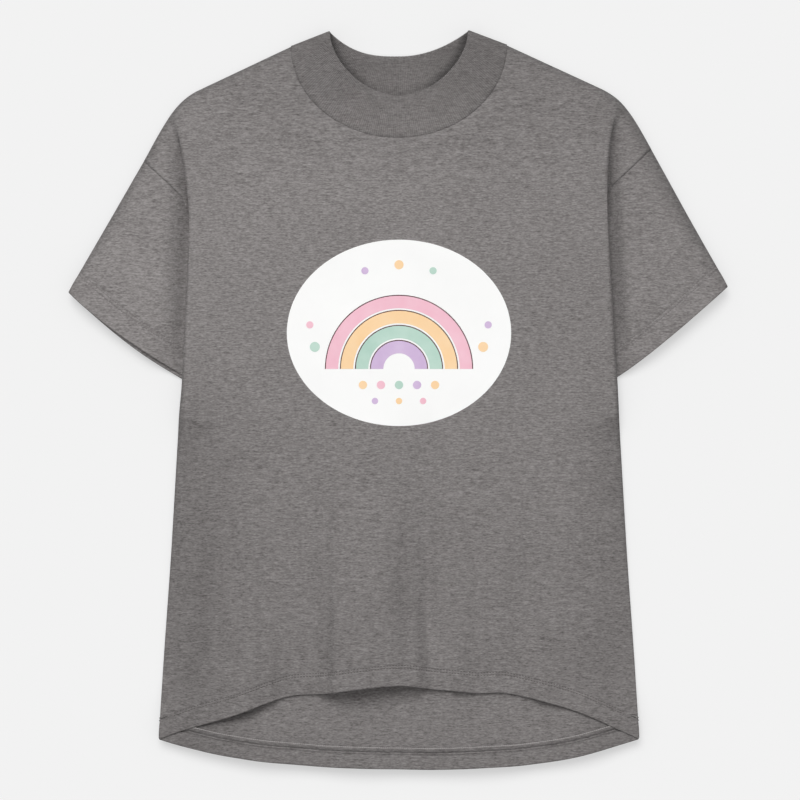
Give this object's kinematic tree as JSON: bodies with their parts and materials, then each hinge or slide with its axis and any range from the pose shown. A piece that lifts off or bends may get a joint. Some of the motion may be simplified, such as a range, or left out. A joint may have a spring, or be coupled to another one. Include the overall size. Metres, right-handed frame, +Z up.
{
  "type": "t-shirt",
  "caption": "Short-sleeved jersey T-shirt laid flat, with a high rib neckband, dropped shoulders, folded sides, a longer curved back hem and a printed oval on the chest.",
  "frame": {"origin": "on the floor, at the middle of the shirt's width and length", "axes": "+X to the wearer's left, +Y from the hem to the neck, +Z up, out of the chest of the shirt that lies on its back"},
  "size_m": [0.66, 0.7394, 0.018],
  "materials": {
    "jersey": "heather grey cotton jersey, matte",
    "rib": "heather grey cotton rib, matte",
    "print_film": "matte white transfer film with pastel shapes"
  },
  "bodies": {
    "root": {"back_panel": "jersey", "front_panel": "jersey", "left_sleeve": "jersey", "right_sleeve": "jersey", "neckband": "rib", "chest_print": "print_film"}
  },
  "joints": []
}
